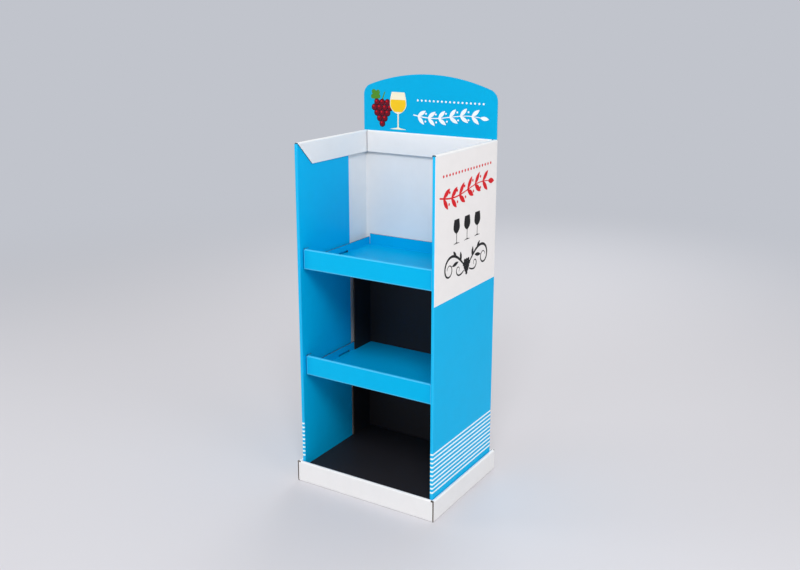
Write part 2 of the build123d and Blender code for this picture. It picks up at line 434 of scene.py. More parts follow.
def board_finish(tree, colour, roughness, shine, crack_and_highlight, crack_and_highlight_share=0.3, mottle=0.03):
    """Shader of a paper face on board. colour is a colour or a node, shine the strength
    of its reflection against plain varnish. At the creases the given pale colour takes over by
    its share, on average, broken up by noise between 0.6 and 1.4 times that share: partly
    cracked ink, and partly a painted highlight along the fold. The height of the surface is
    sin(2 pi across / pitch) of the washboard, and a quarter of the fibre's noise on top."""
    place = add(tree, "TexCoord").outputs["Object"]
    shade = mottled(tree, place, colour, mottle, 0.6)
    fold = add(tree, "Attribute", attribute_name="crease").outputs["Fac"]
    grit = add(tree, "TexNoise", Vector=place, Scale=crease_line_grains, Detail=2.0)
    broken = add(tree, "Math", grit, 0.8 * crack_and_highlight_share, 0.6 * crack_and_highlight_share, operation="MULTIPLY_ADD")
    crack_and_highlight_amount = add(tree, "Math", fold, broken, operation="MULTIPLY")
    mixed = add(tree, "Mix", data_type="RGBA", Factor_Float=crack_and_highlight_amount, A_Color=shade, B_Color=linear(crack_and_highlight))
    across = add(tree, "SeparateXYZ", add(tree, "UVMap", uv_map="blank"))
    turns = add(tree, "Math", across, 2 * np.pi / (flute_pitch * MM), operation="MULTIPLY")
    wave = add(tree, "Math", turns, operation="SINE")
    fibre = add(tree, "TexNoise", Vector=place, Scale=fibre_grains, Detail=2.0)
    height = add(tree, "Math", fibre, 0.25, wave, operation="MULTIPLY_ADD")
    bump = add(tree, "Bump", Strength=0.35, Distance=washboard * MM, Height=height)
    skin = add(tree, "BsdfPrincipled", Base_Color=mixed, Roughness=roughness, IOR=1.5,
               Specular_IOR_Level=shine, Normal=bump)
    add(tree, "OutputMaterial", skin)


print("a flute every", flute_pitch, "mm, and its washboard", washboard, "mm high")

# %% [markdown]
# ## The five plain boards
# The stand is made of boards that differ in their outer paper. One finish in five colours
# would give their hues, but not their shine. Clay-coated white is the best paper and
# needs no ink. Offset ink lies evenly under varnish. The black of inner pieces is printed
# cheaply, and brown kraft isn't printed at all, so both are duller.

# %% Plain boards
# at the creases each board turns to a paler colour: partly cracked ink, partly a painted highlight
# a cool white with a dull shine
white_board, tree = material("clay_coated_white_board")
board_finish(tree, linear("#EDECEC"), roughness=0.5, shine=0.3, crack_and_highlight="#FFFFFF")

# full process cyan, even and flat, and nearly white at a fold: cracked ink and a painted highlight
cyan_print, tree = material("offset_printed_cyan_board")
board_finish(tree, linear("#00B2E6"), roughness=0.4, shine=0.07, crack_and_highlight="#9BE6FF", crack_and_highlight_share=0.2)

# the same cyan ink, painted a shade deeper to offset the extra light that falls on the header
header_print, tree = material("offset_printed_header_board")
board_finish(tree, linear("#00AADB"), roughness=0.4, shine=0.07, crack_and_highlight="#9BE6FF", crack_and_highlight_share=0.2)

# a washed-out black, as water-based ink is on board
black_print, tree = material("flexo_printed_black_board")
board_finish(tree, linear("#262326"), roughness=0.55, shine=0.25, crack_and_highlight="#4A474A")

# bare brown liner, cloudy and quite dull
kraft_board, tree = material("brown_kraft_board")
board_finish(tree, linear("#A98259"), roughness=0.75, shine=0.3, crack_and_highlight="#B99468", mottle=0.08)
print("made 5 finishes of printed and plain board")

# %% [markdown]
# ## The cut edge of corrugated board
# Where board is cut, its section shows: two thin liners and a wavy paper between them.
# It could be modelled wave by wave, but it is 3 mm high, so a drawn section does. The UV
# map of the edge counts millimetres along the cut and through the board. Paper is drawn
# where the point is near a liner or near the sine curve of the flute, and shade elsewhere.

# %% The finish of a raw edge
paper = 0.3            # mm, how thick a liner is drawn, and how far the flute reaches off its wave
flute_swing = 1.05     # mm, how far the wave swings off the middle of the board


def edge_finish(tree, gap, flute, liner):
    """Shader of a cut through corrugated board. The flute is drawn where the height in the
    board is within one paper of half + swing * sin(2 pi along / pitch), and the liners are
    the outermost paper on both sides."""
    spot = add(tree, "SeparateXYZ", add(tree, "UVMap", uv_map="blank"))
    turns = add(tree, "Math", spot, 2 * np.pi / (flute_pitch * MM), operation="MULTIPLY")
    wave = add(tree, "Math", add(tree, "Math", turns, operation="SINE"), flute_swing * MM, half * MM,
               operation="MULTIPLY_ADD")
    off_wave = add(tree, "Math", spot.outputs[1], wave, operation="SUBTRACT")
    off_middle = add(tree, "Math", spot.outputs[1], half * MM, operation="SUBTRACT")
    is_flute = add(tree, "Math", add(tree, "Math", off_wave, operation="ABSOLUTE"), paper * MM,
                   operation="LESS_THAN")
    is_liner = add(tree, "Math", add(tree, "Math", off_middle, operation="ABSOLUTE"),
                   (half - paper) * MM, operation="GREATER_THAN")
    inner = add(tree, "Mix", data_type="RGBA", Factor_Float=is_flute, A_Color=linear(gap),
                B_Color=linear(flute))
    section = add(tree, "Mix", data_type="RGBA", Factor_Float=is_liner, A_Color=inner,
                  B_Color=linear(liner))
    add(tree, "OutputMaterial", add(tree, "BsdfPrincipled", Base_Color=section, Roughness=0.85, IOR=1.5))


# brown and dark, because most of it is shade between the waves
raw_edge, tree = material("kraft_fluting_cut_edge")
edge_finish(tree, gap="#170E0A", flute="#654832", liner="#6B5645")

# pale, because the header's board has white flutes
pale_edge, tree = material("white_fluting_cut_edge")
edge_finish(tree, gap="#7D8B92", flute="#C9D2D6", liner="#DCE6EA")

# a blue-grey line: the die presses the printed board nearly shut, and the blue is painted bounce light from
# the cyan walls
crushed_edge_and_blue_light, tree = material("crushed_board_cut_edge")
edge_finish(tree, gap="#22424F", flute="#4A7684", liner="#5C8796")
print("made 3 cut edges with flutes", 2 * flute_swing, "mm high")

# %% [markdown]
# ## The fields of the body's print
# The body's sheet is printed in one pass, and its fields are plain: cyan all over, a
# white field on the upper part of each side, and the back left bare but for a bleed past
# its corners. An artist would paint them in a picture, but fields with straight borders
# need none: each is a comparison of a coordinate.

# %% White fields and the bare back
field_foot = 662.0     # height of the border between the white and the cyan field
bleed = 225.0          # the print ends this far from the middle of the back
hair = 0.1             # mm, so that the print of the front edges ends just past their folds
side_limit = body_width / 2 - crease             # past this x lies only the outside of a side wall
back_limit = body_depth / 2 - board - crease     # past this y lie the back and its folds
front_limit = body_depth / 2 - board - hair      # and past this, to the front, the front edges

body_print, tree = material("offset_printed_body_board")
spot = add(tree, "SeparateXYZ", add(tree, "TexCoord").outputs["Object"])
x_off = add(tree, "Math", spot, operation="ABSOLUTE")
on_wall = add(tree, "Math", x_off, side_limit * MM, operation="GREATER_THAN")
on_back = add(tree, "Math", spot.outputs[1], back_limit * MM, operation="GREATER_THAN")
on_front = add(tree, "Math", spot.outputs[1], -front_limit * MM, operation="LESS_THAN")
high_up = add(tree, "Math", spot.outputs[2], field_foot * MM, operation="GREATER_THAN")
off_bleed = add(tree, "Math", x_off, bleed * MM, operation="LESS_THAN")
outer = add(tree, "Math", on_wall, on_back, operation="MAXIMUM")
white_field = add(tree, "Math", outer, high_up, operation="MULTIPLY")
bare_back = add(tree, "Math", on_back, off_bleed, operation="MULTIPLY")
white_here = add(tree, "Math", white_field, bare_back, operation="MAXIMUM")
print("the white field is", body_height - field_foot, "mm high")

# %% [markdown]
# ## The stripes
# Low on the sides run white stripes that wrap round the front edges, ten on the right and
# nine on the left. They could be strips of mesh, but those would have to follow the fold,
# and here they are part of the print. They are counted upwards: the whole part of the
# count says which stripe it is, and the rest of it how far up in the pitch the point lies.

# %% Stripes
stripe_low = 88.0      # height of the lowest stripe's middle
stripe_pitch = 13.6
stripe_share = 0.40    # a stripe's share of the pitch
stripe_count = 10      # on the right side, and one less on the left

count = add(tree, "Math", spot.outputs[2], 1000 / stripe_pitch, stripe_share / 2 - stripe_low / stripe_pitch,
            operation="MULTIPLY_ADD")
on_stripe = add(tree, "Math", add(tree, "Math", count, 1.0, operation="FLOORED_MODULO"), stripe_share,
                operation="LESS_THAN")
above_first = add(tree, "Math", count, 0.0, operation="GREATER_THAN")
on_right = add(tree, "Math", spot, 0.0, operation="GREATER_THAN")
stripes_here = add(tree, "Math", on_right, float(stripe_count - 1), operation="ADD")
below_last = add(tree, "Math", count, stripes_here, operation="LESS_THAN")
in_band = add(tree, "Math", above_first, below_last, operation="MULTIPLY")
on_side = add(tree, "Math", outer, on_front, operation="MAXIMUM")
striped = add(tree, "Math", add(tree, "Math", on_side, on_stripe, operation="MULTIPLY"), in_band,
              operation="MULTIPLY")
print("the right side carries", stripe_count, "stripes,", stripe_pitch, "mm apart")

# %% [markdown]
# ## The finish of the body
# The fields now choose between three colours, and the result goes under the same varnish
# as any printed board. The eye sees one sheet, even in shine from field to field.

# %% Colours of the body's print
# the stripes look brighter and cooler than the white field, because the blue round them spreads
stripes = add(tree, "Mix", data_type="RGBA", Factor_Float=striped, A_Color=linear("#00B5EB"),
              B_Color=linear("#EAFBFF"))
fields = add(tree, "Mix", data_type="RGBA", Factor_Float=white_here, A_Color=stripes,
             B_Color=linear("#EFECEB"))
# at the folds a pale cyan: partly cracked ink, partly a painted highlight
board_finish(tree, fields, roughness=0.4, shine=0.07, crack_and_highlight="#A6EAFF", crack_and_highlight_share=0.05)
print("the body's print is made of", len(tree.nodes), "nodes")

# %% [markdown]
# ## From arrays to a mesh
# The arrays of all the sheets of one piece are joined and put into a mesh in a few bulk
# writes, which is far quicker than adding faces one by one. Faces are smooth, and edges
# sharper than 35 degrees are marked, so that folds shine as arcs and cuts stay crisp.

# %% Putting sheets into a mesh
sharp_edge = np.radians(35)


def mesh_of(name, parts):
    """A mesh of several sheets. Points that no face uses, inside the cuts, are dropped."""
    offset = np.cumsum([0] + [len(part["co"]) for part in parts])
    quads = np.concatenate([part["quads"] + start for part, start in zip(parts, offset)])
    used, quads = np.unique(quads, return_inverse=True)
    quads = quads.reshape(-1, 4)
    co, uv, slot, mark = (np.concatenate([part[key] for part in parts])
                          for key in ("co", "uv", "slot", "crease"))
    mesh = bpy.data.meshes.new(name)
    mesh.vertices.add(len(used))
    mesh.vertices.foreach_set("co", (co[used] * MM).ravel())
    mesh.loops.add(quads.size)
    mesh.loops.foreach_set("vertex_index", quads.ravel())
    mesh.polygons.add(len(quads))
    mesh.polygons.foreach_set("loop_start", np.arange(0, quads.size, 4))
    mesh.polygons.foreach_set("material_index", slot)
    mesh.uv_layers.new(name="blank").data.foreach_set("uv", (uv * MM).ravel())
    mesh.attributes.new("crease", "FLOAT", "POINT").data.foreach_set("value", mark[used])
    mesh.update(calc_edges=True)
    mesh.shade_smooth()
    mesh.set_sharp_from_angle(angle=sharp_edge)
    return mesh


print("edges sharper than", np.degrees(sharp_edge).round(), "degrees stay crisp")

# %% [markdown]
# ## From a mesh to a piece
# A piece is an object with its place already in its mesh, so it stands at the origin. It
# rides on the one body of the stand, and says which node of the imported model it stands
# for.

# %% Making a piece
def piece(name, parts, finishes, slot, *nodes):
    """One object from several sheets in millimetres. It stands for the CAD nodes named."""
    mesh = mesh_of(name, parts)
    for finish in finishes:
        mesh.materials.append(finish)
    made = bpy.data.objects.new(name, mesh)
    bpy.context.scene.collection.objects.link(made)
    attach(made, "root")
    if nodes:
        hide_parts(*nodes)
    low, high = box_of(made)
    print(name, "has", len(mesh.polygons), "faces and measures", (high - low).round(1).tolist(), "mm")
    return made


print("pieces can stand for", len(nodes), "nodes")

# %% [markdown]
# ## The base tray
# The tray is one white sheet. Its walls go up, over a narrow rim and down again inside,
# which locks the corner tabs in and gives the smooth white rim seen from above. A box
# with thick walls would look the same from afar, but it would have no rounded rim and no
# cut ends. First come the sizes, all counted from the body that stands in the tray.

# %% Sizes of the tray
slack = 0.3                             # between a piece and what it stands in or slides into
tray_gap = 1.0                          # between the tray's inner ply and the body
tray_tab = 60.0                         # length of the corner tabs
fold_room = board + crease + slack      # from a corner to flat board past its fold
roll = fold_room                        # hollow of a rolled wall, which holds a tab
tray_wall = 2 * board + roll
side = body_width / 2 + tray_gap + tray_wall
end = body_depth / 2 + tray_gap + tray_wall
rim = tray_height - half
inset = half + roll + board             # from a wall's outer face to its inner ply
flat_x, hem_x, hem_y = side - fold_room, side - inset, end - inset
hem_foot = board + slack
stop_y = end - board - slack            # rims and inner plies of the side walls end here
hem_end = hem_x - half - slack          # and those of the front and back walls here
single_top = tray_height - board - slack
print("the tray measures", (2 * side).round(1), "x", (2 * end).round(1), "mm, its walls", tray_wall, "mm")

# %% [markdown]
# ## Walls and corners of the tray
# The front, the floor and the back are one folded strip, and each side wall rolls over
# beside it. Only at the corners does the cut end of the side walls show, as a brown line
# from top to bottom.

# %% Base tray
front_wall = [(-hem_y, hem_foot), (-hem_y, rim), (half - end, rim), (half - end, half)]
back_wall = [(-y, z) for y, z in reversed(front_wall)]
floor_strip = folded("x", -hem_end, hem_end, front_wall + back_wall, flutes="s")
single = folded("x", hem_end, flat_x, [(half - end, single_top), (half - end, half),
                                       (end - half, half), (end - half, single_top)], flutes="s")
tab = folded("z", hem_foot, single_top, [(flat_x - half, board - end),
                                         (flat_x - half, board + tray_tab - end)])
side_wall = folded("y", -stop_y, stop_y, [(flat_x, half), (side - half, half), (side - half, rim),
                                          (hem_x, rim), (hem_x, hem_foot)])
raw_end = folded("y", stop_y, end, [(flat_x, half), (side - half, half), (side - half, tray_height)])
tray = [floor_strip] + both([single, side_wall] + both([tab, raw_end], axis=1))
piece("tray_board", tray, [white_board, raw_edge], "white_board", "base_tray")

# %% [markdown]
# ## The deck
# The lowest bay stands on a black deck: a sheet folded down at the front and the back, so
# that it stands on its own two skirts. It could be a plain box, but then its front edge
# would have no fold to catch the light.

# %% Deck
wall_hollow = 4.0                       # between the two plies of a side wall
side_ply = 2 * board + wall_hollow
bay = body_width - 2 * side_ply
front, back = -body_depth / 2, body_depth / 2
back_face = back - board
deck_top = deck_height - half
deck_start, deck_stop = front + slack + half, back_face - slack - half
deck = folded("x", slack - bay / 2, bay / 2 - slack,
              [(deck_start, board), (deck_start, deck_top), (deck_stop, deck_top), (deck_stop, board)],
              flutes="s")
piece("deck_board", [deck], [black_print, raw_edge], "black_board", "base_deck")

# %% [markdown]
# ## The risers
# Behind the lower two bays stand black channels. They make the bays dark and carry the
# shelves at the back. A flat black sheet would be as dark, but it would fall over. Each
# channel is a sheet folded twice, which stands on its lower edge.

# %% Risers
riser_depth = 100.0
shelf_gap = 4.0                         # between a shelf and each side wall
shelf_width = bay - 2 * shelf_gap


def riser(width, foot, top):
    """A channel of a width, open to the front."""
    reach = width / 2 - half
    rear = back_face - slack - board - crease - half
    fore = rear + half - riser_depth
    return folded("z", foot, top, [(-reach, fore), (-reach, rear), (reach, rear), (reach, fore)])


piece("lower_riser_board", [riser(bay - 2 * slack, deck_height, middle_height)],
      [black_print, raw_edge], "black_board", "lower_riser")
piece("middle_riser_board",
      [riser(shelf_width - 2 * (board + crease), middle_height + board, upper_height)],
      [black_print, raw_edge], "black_board", "middle_riser")

# %% [markdown]
# ## Strips under the deck
# Seven strips on edge carry the deck, out of sight. They are plain slotted strips, so
# they keep their CAD form and only get the finish of brown board.

# %% Strips
strips = [node for name, node in nodes.items() if "strip" in name]
for strip in strips:
    strip.data.materials.clear()
    strip.data.materials.append(kraft_board)
print(len(strips), "strips of brown board")

# %% [markdown]
# ## The body
# One sheet makes the back, both side walls and the flaps. Each side wall turns a narrow
# corner at the front and runs back inside as a second ply, which is why the cyan print
# outside is also the cyan inside, and why the white back of the board shows where that
# ply ends. Panels made one by one would be simpler, but they would meet in hard corners
# and not in folds. The sizes say where the middle of each ply lies, and where the rims
# begin.

# %% Sizes of the body
return_depth = 266.0                    # how far the inner ply runs back from the front edge
cap_width = 13.0                        # width of the folded rim along the top of a wall
flap_drop = 70.0                        # how far the top flaps hang inside
flap_gap = 2.5                          # slit between a side flap and the back flap
outer_x = body_width / 2 - half
inner_x = body_width / 2 - side_ply + half
front_y, back_y = front + half, back - half
return_end = front + return_depth
cap_line = body_height - half
wall_top = body_height - board - slack
root = wall_top - 2 * bend              # from here up the sheet is cut into walls and flaps
flap_x = body_width / 2 - cap_width + half
flap_y = back - cap_width + half
flap_foot = body_height - flap_drop
cap_start, cap_stop = front + fold_room, back - fold_room
cap_end = flap_x - half - flap_gap
print("the inner plies run back to y =", return_end, "mm and the flaps hang down to", flap_foot, "mm")

# %% [markdown]
# ## Walls and hook slots
# Seen from above the walls are one line: forwards inside the left wall, round its front
# edge, along its outside, across the back, and the same on the right in reverse. At each
# shelf, two slots in each inner ply take its hooks. A Boolean modifier could cut them,
# but cells left out of the grid are exact and leave clean faces. The slots are counted
# along the blank, so the right ones are the left ones counted from the other end.

# %% Walls of the body
hook_length = 60.0
hook_places = (45.0, 185.0)             # from the front edge to the start of each hook

wall_line = [(-inner_x, return_end), (-inner_x, front_y), (-outer_x, front_y), (-outer_x, back_y),
             (outer_x, back_y), (outer_x, front_y), (inner_x, front_y), (inner_x, return_end)]
wall_length = fold_line(wall_line)[2].sum()
hook_slots = []
for height in (middle_height, upper_height):
    for place in hook_places:
        s1 = return_end - (front + place - slack)
        s0 = s1 - hook_length - 2 * slack
        z0, z1 = height, height + board + slack
        hook_slots += [(s0, s1, z0, z1), (wall_length - s1, wall_length - s0, z0, z1)]
walls = folded("z", board, root, wall_line, cuts=hook_slots, slots=(0, 1, 2), outside="left")
print("the walls take", wall_length.round(), "mm of board, with", len(hook_slots), "slots for hooks")

# %% [markdown]
# ## Corners beside the rims
# At the four corners the walls run on a little higher than the rims' roots, to just under
# the rims. Their upper edges are crushed by the die, so they show as a thin line, drawn
# blue-grey with painted bounce light from the cyan walls.

# %% Upper corners of the body
front_corner = folded("z", root, wall_top, [(outer_x, cap_start), (outer_x, front_y),
                                            (inner_x, front_y), (inner_x, return_end)],
                      slots=(0, 1, 3), outside="left")
back_corner = folded("z", root, wall_top, [(outer_x, cap_stop), (outer_x, back_y), (cap_end, back_y)],
                     slots=(0, 1, 3), outside="right")
print("the corners end", round(body_height - wall_top, 1), "mm under the rims' upper faces")

# %% [markdown]
# ## Rims and flaps
# Along the top each wall folds over a rim and hangs down inside as a flap. The side flaps
# are cut at 45 degrees at the front, so the cut moves back as the board comes down. The
# back flap has a slot at its rim for each tongue of the header.

# %% Rims, flaps and the whole body
tongue_width, tongue_depth, tongue_spread = 90.0, 60.0, 240.0
card_y = back - board - crease - slack - half    # the header's board stands here


def mitre(place):
    """Front end of a side flap: it moves back by as much as the flap has come down."""
    drop = np.clip(body_height - board - place[:, 1], 0, flap_drop - board)
    return cap_start + drop * (place[:, 0] < flap_x + half)


side_flap_line = [(outer_x, root), (outer_x, cap_line), (flap_x, cap_line), (flap_x, flap_foot)]
# the flap's cut edges are blue-grey too, with painted bounce light from the cyan walls
side_flap = folded("y", cap_start, cap_stop, side_flap_line, slots=(1, 1, 3), outside="right",
                   start_at=mitre)
back_flap_line = [(back_y, root), (back_y, cap_line), (flap_y, cap_line), (flap_y, flap_foot)]
rim_start = fold_line(back_flap_line)[1][2]
near = rim_start + back_y - bend - (card_y + half + slack)
tongue_slots = [(near, near + board + 2 * slack, x - tongue_width / 2 - slack, x + tongue_width / 2 + slack)
                for x in (-tongue_spread / 2, tongue_spread / 2)]
back_flap = folded("x", -cap_end, cap_end, back_flap_line, cuts=tongue_slots, slots=(1, 1, 2),
                   outside="right", flutes="s")
piece("body_board", [walls, back_flap] + both([front_corner, back_corner, side_flap]),
      [body_print, white_board, raw_edge, crushed_edge_and_blue_light], "printed_board", "body")

# %% [markdown]
# ## The shelves
# A shelf is a folded tray. It could be a plain one, but then nothing would hold it up. Its
# front lip is rolled over to a second ply, and the ends of the lip turn back along the
# side walls. Low sides behind them leave hooks level with the floor, which go through the
# slots of the inner plies and carry the load. Both shelves are the same sheet, so one
# function makes them.

# %% The sheets of a shelf
lip_height, lip_setback, lip_return = 63.5, 14.0, 24.0
side_upstand, back_upstand, hook_bite = 30.0, 40.0, 3.2


def shelf(height):
    """The sheets of one shelf whose underside is at the height."""
    edge = shelf_width / 2
    flat = edge - fold_room
    lip_y = front + lip_setback + half
    hem = lip_y + board + roll
    rear = back_face - slack - half
    floor, top = height + half, height + lip_height - half
    tray_line = [(hem, height + board + slack), (hem, top), (lip_y, top), (lip_y, floor),
                 (rear, floor), (rear, height + back_upstand)]
    main = folded("x", -flat, flat, tray_line, flutes="s")
    end_y = front + lip_setback + lip_return
    end_fold = folded("z", height + slack, height + lip_height - slack,
                      [(flat, lip_y), (edge - half, lip_y), (edge - half, end_y)])
    low_line = [(flat, floor), (edge - half, floor), (edge - half, height + side_upstand)]
    reach = shelf_gap + board + hook_bite
    total = fold_line(low_line)[2].sum()
    gaps = [(0, total - (side_upstand - reach), front + place, front + place + hook_length)
            for place in hook_places]
    low_side = folded("y", end_y + slack, rear - half - slack, low_line, cuts=gaps)
    hooks = [folded("y", y0, y1, [(flat, floor), (edge + reach, floor)]) for _, _, y0, y1 in gaps]
    return [main] + both([end_fold, low_side] + hooks)


piece("middle_shelf_board", shelf(middle_height), [cyan_print, raw_edge], "cyan_board", "middle_shelf")
piece("upper_shelf_board", shelf(upper_height), [cyan_print, raw_edge], "cyan_board", "upper_shelf")

# %% [markdown]
# ## The arch of the header card
# The header is a flat card with an arched top, cut by a die. Its outline is a large arc
# over the middle and a small one at each corner. They could be drawn as a curve by eye,
# but two circles that touch without a kink can be worked out.

# %% Outline of the card's top
card_edge, card_crown, card_shoulder, card_corner = body_width / 2, 185.0, 138.0, 36.0
rise = card_crown - card_shoulder
arch = (card_edge ** 2 + rise ** 2) / (2 * rise)
arch_z = card_crown - arch
corner_x = card_edge - card_corner
corner_z = arch_z + np.sqrt((arch - card_corner) ** 2 - corner_x ** 2)
meet = np.arctan2(corner_z - arch_z, corner_x)


def card_top():
    """Outline of the top from left to right. On the corner it is centre + corner radius at
    an angle, on the arch it is centre + arch radius, and they meet where both centres and
    the point are in one line."""
    turn = np.linspace(0, meet, 13)
    corner = np.stack([corner_x + card_corner * np.cos(turn), corner_z + card_corner * np.sin(turn)], 1)
    turn = np.linspace(meet, np.pi - meet, 49)[1:-1]
    middle = np.stack([arch * np.cos(turn), arch_z + arch * np.sin(turn)], 1)
    outline = np.concatenate([corner, middle, corner[::-1] * (-1, 1)])
    return outline[::-1]


print("the arch has a radius of", arch.round(), "mm, and the corners", card_corner, "mm")

# %% [markdown]
# ## The card and its tongues
# A filled curve would give the card's outline, but no map of its board for the flutes. So
# the card is a grid with a column for each place along the width, which runs up to the
# outline. Two tongues below it stand in the slots of the back rim and hold it upright.

# %% Header card
tongue_corner = 14.0


def flat_card(top, foot, slots):
    """Flat board in the header's plane between a foot line and a top line, both from left
    to right. A point is foot + v * (top - foot)."""
    v = np.linspace(0, 1, 2)
    grid = foot[:, None] + v[None, :, None] * (top - foot)[:, None]
    mid = np.stack([grid[..., 0], np.full(grid.shape[:2], card_y), body_height + grid[..., 1]], -1)
    normal = np.broadcast_to([0.0, -1.0, 0.0], mid.shape)
    return slab(mid, normal, board, grid, slots=slots)


def tongue(middle):
    """A tongue around a middle line, with a quarter circle at both of its lower corners."""
    flat_half = tongue_width / 2 - tongue_corner
    turn = np.linspace(0, np.pi / 2, 7)
    x = np.concatenate([-flat_half - tongue_corner * np.cos(turn), flat_half + tongue_corner * np.sin(turn)])
    z = tongue_corner - tongue_depth - tongue_corner * np.concatenate([np.sin(turn), np.cos(turn)])
    foot = np.stack([middle + x, z], 1)
    return flat_card(foot * (1, 0), foot, (0, 1, 2))


outline = card_top()
card = [flat_card(outline, outline * (1, 0), (0, 1, 2))]
card += [tongue(middle) for middle in (-tongue_spread / 2, tongue_spread / 2)]
piece("header_board", card, [header_print, white_board, pale_edge], "header_board", "header_card")

# %% [markdown]
# ## Inks for the motifs
# The header and the sides carry generic motifs, printed as spot colours over the plain
# fields. Each ink is opaque and even, under the same dull varnish as the board, so the
# eye sees a hard border but no change of shine.

# %% Inks
ink_film = 0.12     # mm, drawn thicker than real ink so that it stays clear of the board


def ink_finish(name, code):
    """Offset ink under varnish, with the same dull shine as the printed board."""
    made, tree = material(name)
    shade = mottled(tree, add(tree, "TexCoord").outputs["Object"], linear(code), 0.03, 0.5)
    add(tree, "OutputMaterial", add(tree, "BsdfPrincipled", Base_Color=shade, Roughness=0.4, IOR=1.5,
                                    Specular_IOR_Level=0.1))
    return made


inks = {name: ink_finish(name + "_offset_ink", code) for name, code in {
    "white": "#F2F5F6", "red": "#D8141F", "black": "#141316", "maroon": "#6E0F22", "gold": "#F3C524",
    "cream": "#F3EBCF", "green": "#4F8A2B", "plum": "#2B0E1B"}.items()}
print(len(inks), "inks mixed")

# %% [markdown]
# ## Drawing with bands
# Motifs could be drawn in a picture and laid on the board, but pixels would show from
# close by. Here each shape is a band: a list of pairs of points, one on each border. So
# one function can later turn any shape into a film of ink. Strokes and spots come first.

# %% Strokes and spots
def band(a, b):
    """The area between two curves of as many points each."""
    return np.stack([np.asarray(a, float), np.asarray(b, float)], 1)


def ribbon(x, z, width):
    """A stroke: its two sides are the centre line moved by half the width along the normal."""
    dx, dz = np.gradient(x), np.gradient(z)
    size = np.hypot(dx, dz)
    off = np.stack([-dz / size, dx / size], 1) * np.broadcast_to(width, x.shape)[:, None] / 2
    line = np.stack([x, z], 1)
    return band(line + off, line - off)


def disc(x, z, radius):
    """A round spot, as a band between its upper and lower half: radius * (cos, +-sin). It
    stops just short of both ends, so that no edge of the band has no length."""
    turn = np.linspace(0.05, np.pi - 0.05, 17)
    upper = np.stack([x + radius * np.cos(turn), z + radius * np.sin(turn)], 1)
    return band(upper, upper * (1, -1) + (0, 2 * z))


print("a spot of radius 10 mm is a band of", len(disc(0, 0, 10)), "pairs of points")

# %% [markdown]
# ## Leaves
# Two kinds of leaf are needed: a narrow blade for branches and tendrils, and a broad leaf
# with lobes beside the berries. They could be traced point by point, but each is written
# as one formula, so it scales and turns freely.

# %% Leaves
def blade(x, z, length, width, angle):
    """A narrow leaf: at the share u of its length it is width * sin(pi u) ** 0.9 wide."""
    u = np.linspace(0.01, 0.99, 21)
    reach = u * length
    return ribbon(x + reach * np.cos(angle), z + reach * np.sin(angle), width * np.sin(np.pi * u) ** 0.9)


def broad_leaf(x, z, size, angle):
    """A broad leaf with five lobes in polar form: the radius is size times
    0.62 + 0.38 |cos(2.5 turn)| ** 0.7, with teeth of 4 %, and shorter towards the stalk.
    The band runs from the leaf's middle to that outline."""
    turn = np.linspace(-np.pi, np.pi, 121)
    lobes = 0.62 + 0.38 * np.abs(np.cos(2.5 * turn)) ** 0.7 + 0.04 * np.cos(30 * turn)
    radius = size * lobes * (0.85 + 0.15 * np.cos(turn))
    rim_line = np.stack([x + radius * np.cos(turn + angle), z + radius * np.sin(turn + angle)], 1)
    return band(rim_line, rim_line * 0.02 + np.array([x, z]) * 0.98)


leaf_size = np.ptp(broad_leaf(0, 0, 23, 0)[:, 0], axis=0)
print("a broad leaf of size 23 measures", leaf_size.round(), "mm")

# %% [markdown]
# ## A stem glass
# A glass is symmetric, so drawing half of it is enough: its band has one pair of points
# for each height, both as far from the middle as a formula says.

# %% Stem glass
stem_top, widest = 0.42, 0.67      # heights, as shares of the glass's own
foot_half, stem_half, bowl_half, rim_loss = 0.24, 0.02, 0.26, 0.06   # half-widths, likewise


def glass(x, z, size):
    """A stem glass as tall as size. Its half-width is the largest of three: a foot that
    falls off as an exponential, a thin stem, and a bowl that widens as a root of a sine
    and narrows to the rim as a cosine. Both have no slope at the widest place, so they
    meet smoothly there."""
    h = np.linspace(0, 1, 90)
    foot = foot_half * np.exp(-np.clip(h - 0.015, 0, None) / 0.02)
    opening = np.pi / 2 * np.clip((h - stem_top) / (widest - stem_top), 0, 1)
    closing = np.pi / 2 * np.clip((h - widest) / (1 - widest), 0, 1)
    bowl = bowl_half * np.sin(opening) ** 0.6 - rim_loss * (1 - np.cos(closing))
    w = np.maximum(np.maximum(foot, stem_half), bowl) * size
    return band(np.stack([x - w, z + h * size], 1), np.stack([x + w, z + h * size], 1))


def slice_of(shape, low, high, inset=0.0):
    """The part of an upright band between two heights, a little narrower."""
    h = shape[:, 0, 1]
    part = shape[(h >= low) & (h <= high)].copy()
    part[:, 0, 0] += inset
    part[:, 1, 0] -= inset
    return part


print("a glass 100 mm tall is", np.ptp(glass(0, 0, 100)[..., 0]).round(1), "mm wide")

# %% [markdown]
# ## Bunches and branches
# Repeated shapes make the ornaments. A bunch is rows of berries, each set into the gaps
# of the row above. A branch waves once along its length, with leaves in pairs and berries
# between the pairs, like a border on printed ware.

# %% Bunches and branches
def bunch(x, z, berry, rows=(3, 4, 3, 2, 1)):
    """Berries in rows, each row set into the gaps of the one above."""
    return [disc(x + (i - (count - 1) / 2) * berry * 1.8, z - row * berry * 1.55, berry)
            for row, count in enumerate(rows) for i in range(count)]


branch_points = 90      # along a branch
first_pair, last_pair = 6, 78
leaf_lean = 0.7         # radians off the branch, 40 degrees


